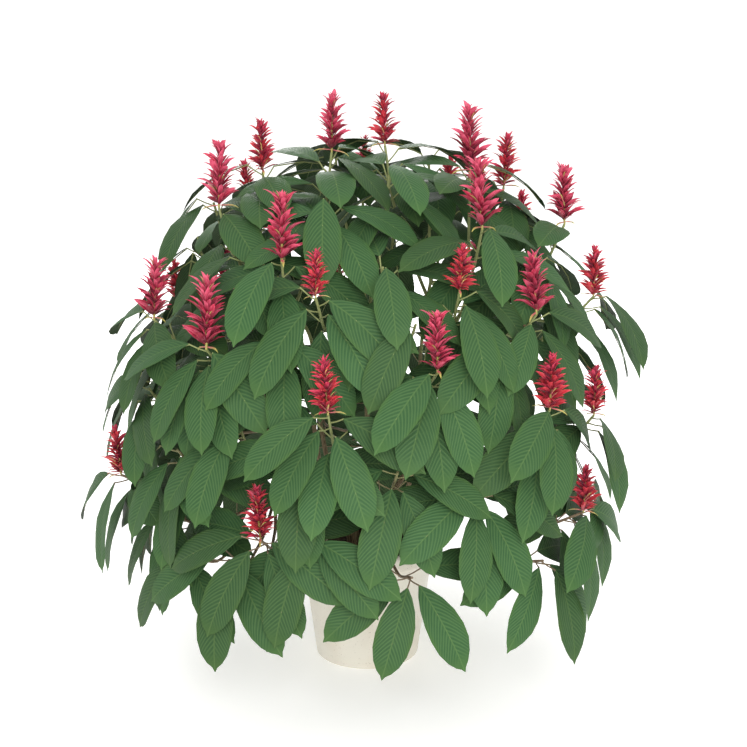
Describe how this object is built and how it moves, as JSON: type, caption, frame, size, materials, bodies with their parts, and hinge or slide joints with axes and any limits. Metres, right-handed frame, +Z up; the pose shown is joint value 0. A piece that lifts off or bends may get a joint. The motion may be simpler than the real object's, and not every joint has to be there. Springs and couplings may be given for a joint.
{
  "type": "potted brazilian red cloak",
  "caption": "Leafy rounded shrub with upright crimson flower spikes, growing on forked canes in a plain pale pot.",
  "frame": {"origin": "centre of the pot's flat underside", "axes": "+Z up, -Y towards the front that the picture shows, +X to its right"},
  "size_m": [1.4741, 1.4662, 1.5285],
  "materials": {
    "glazed_pot": "satin",
    "soil": "matte",
    "woody_cane": "matte",
    "leaf": "satin",
    "crimson_bract": "satin"
  },
  "bodies": {
    "root": {"plant_pot": "glazed_pot", "potting_soil": "soil", "cane_front": "woody_cane", "cane_front_right": "woody_cane", "cane_right": "woody_cane", "cane_back_right": "woody_cane", "cane_back": "woody_cane", "cane_back_left": "woody_cane", "cane_left": "woody_cane", "cane_front_left": "woody_cane", "leafy_branch_front_lower": "leaf", "leafy_branch_front_upper": "leaf", "leafy_branch_front_right_lower": "leaf", "leafy_branch_front_right_upper": "leaf", "leafy_branch_right_lower": "leaf", "leafy_branch_right_upper": "leaf", "leafy_branch_back_right_lower": "leaf", "leafy_branch_back_right_upper": "leaf", "leafy_branch_back_lower": "leaf", "leafy_branch_back_upper": "leaf", "leafy_branch_back_left_lower": "leaf", "leafy_branch_back_left_upper": "leaf", "leafy_branch_left_lower": "leaf", "leafy_branch_left_upper": "leaf", "leafy_branch_front_left_lower": "leaf", "leafy_branch_front_left_upper": "leaf", "flower_spike_1": "crimson_bract", "flower_spike_2": "crimson_bract", "flower_spike_3": "crimson_bract", "flower_spike_4": "crimson_bract", "flower_spike_5": "crimson_bract", "flower_spike_6": "crimson_bract", "flower_spike_7": "crimson_bract", "flower_spike_8": "crimson_bract", "flower_spike_9": "crimson_bract", "flower_spike_10": "crimson_bract", "flower_spike_11": "crimson_bract", "flower_spike_12": "crimson_bract", "flower_spike_13": "crimson_bract", "flower_spike_14": "crimson_bract", "flower_spike_15": "crimson_bract", "flower_spike_16": "crimson_bract", "flower_spike_17": "crimson_bract", "flower_spike_18": "crimson_bract", "flower_spike_19": "crimson_bract", "flower_spike_20": "crimson_bract", "flower_spike_21": "crimson_bract", "flower_spike_22": "crimson_bract", "flower_spike_23": "crimson_bract", "flower_spike_24": "crimson_bract", "flower_spike_25": "crimson_bract", "flower_spike_26": "crimson_bract", "flower_spike_27": "crimson_bract", "flower_spike_28": "crimson_bract", "flower_spike_29": "crimson_bract", "flower_spike_30": "crimson_bract", "flower_spike_31": "crimson_bract", "flower_spike_32": "crimson_bract", "flower_spike_33": "crimson_bract", "flower_spike_34": "crimson_bract"}
  },
  "joints": []
}
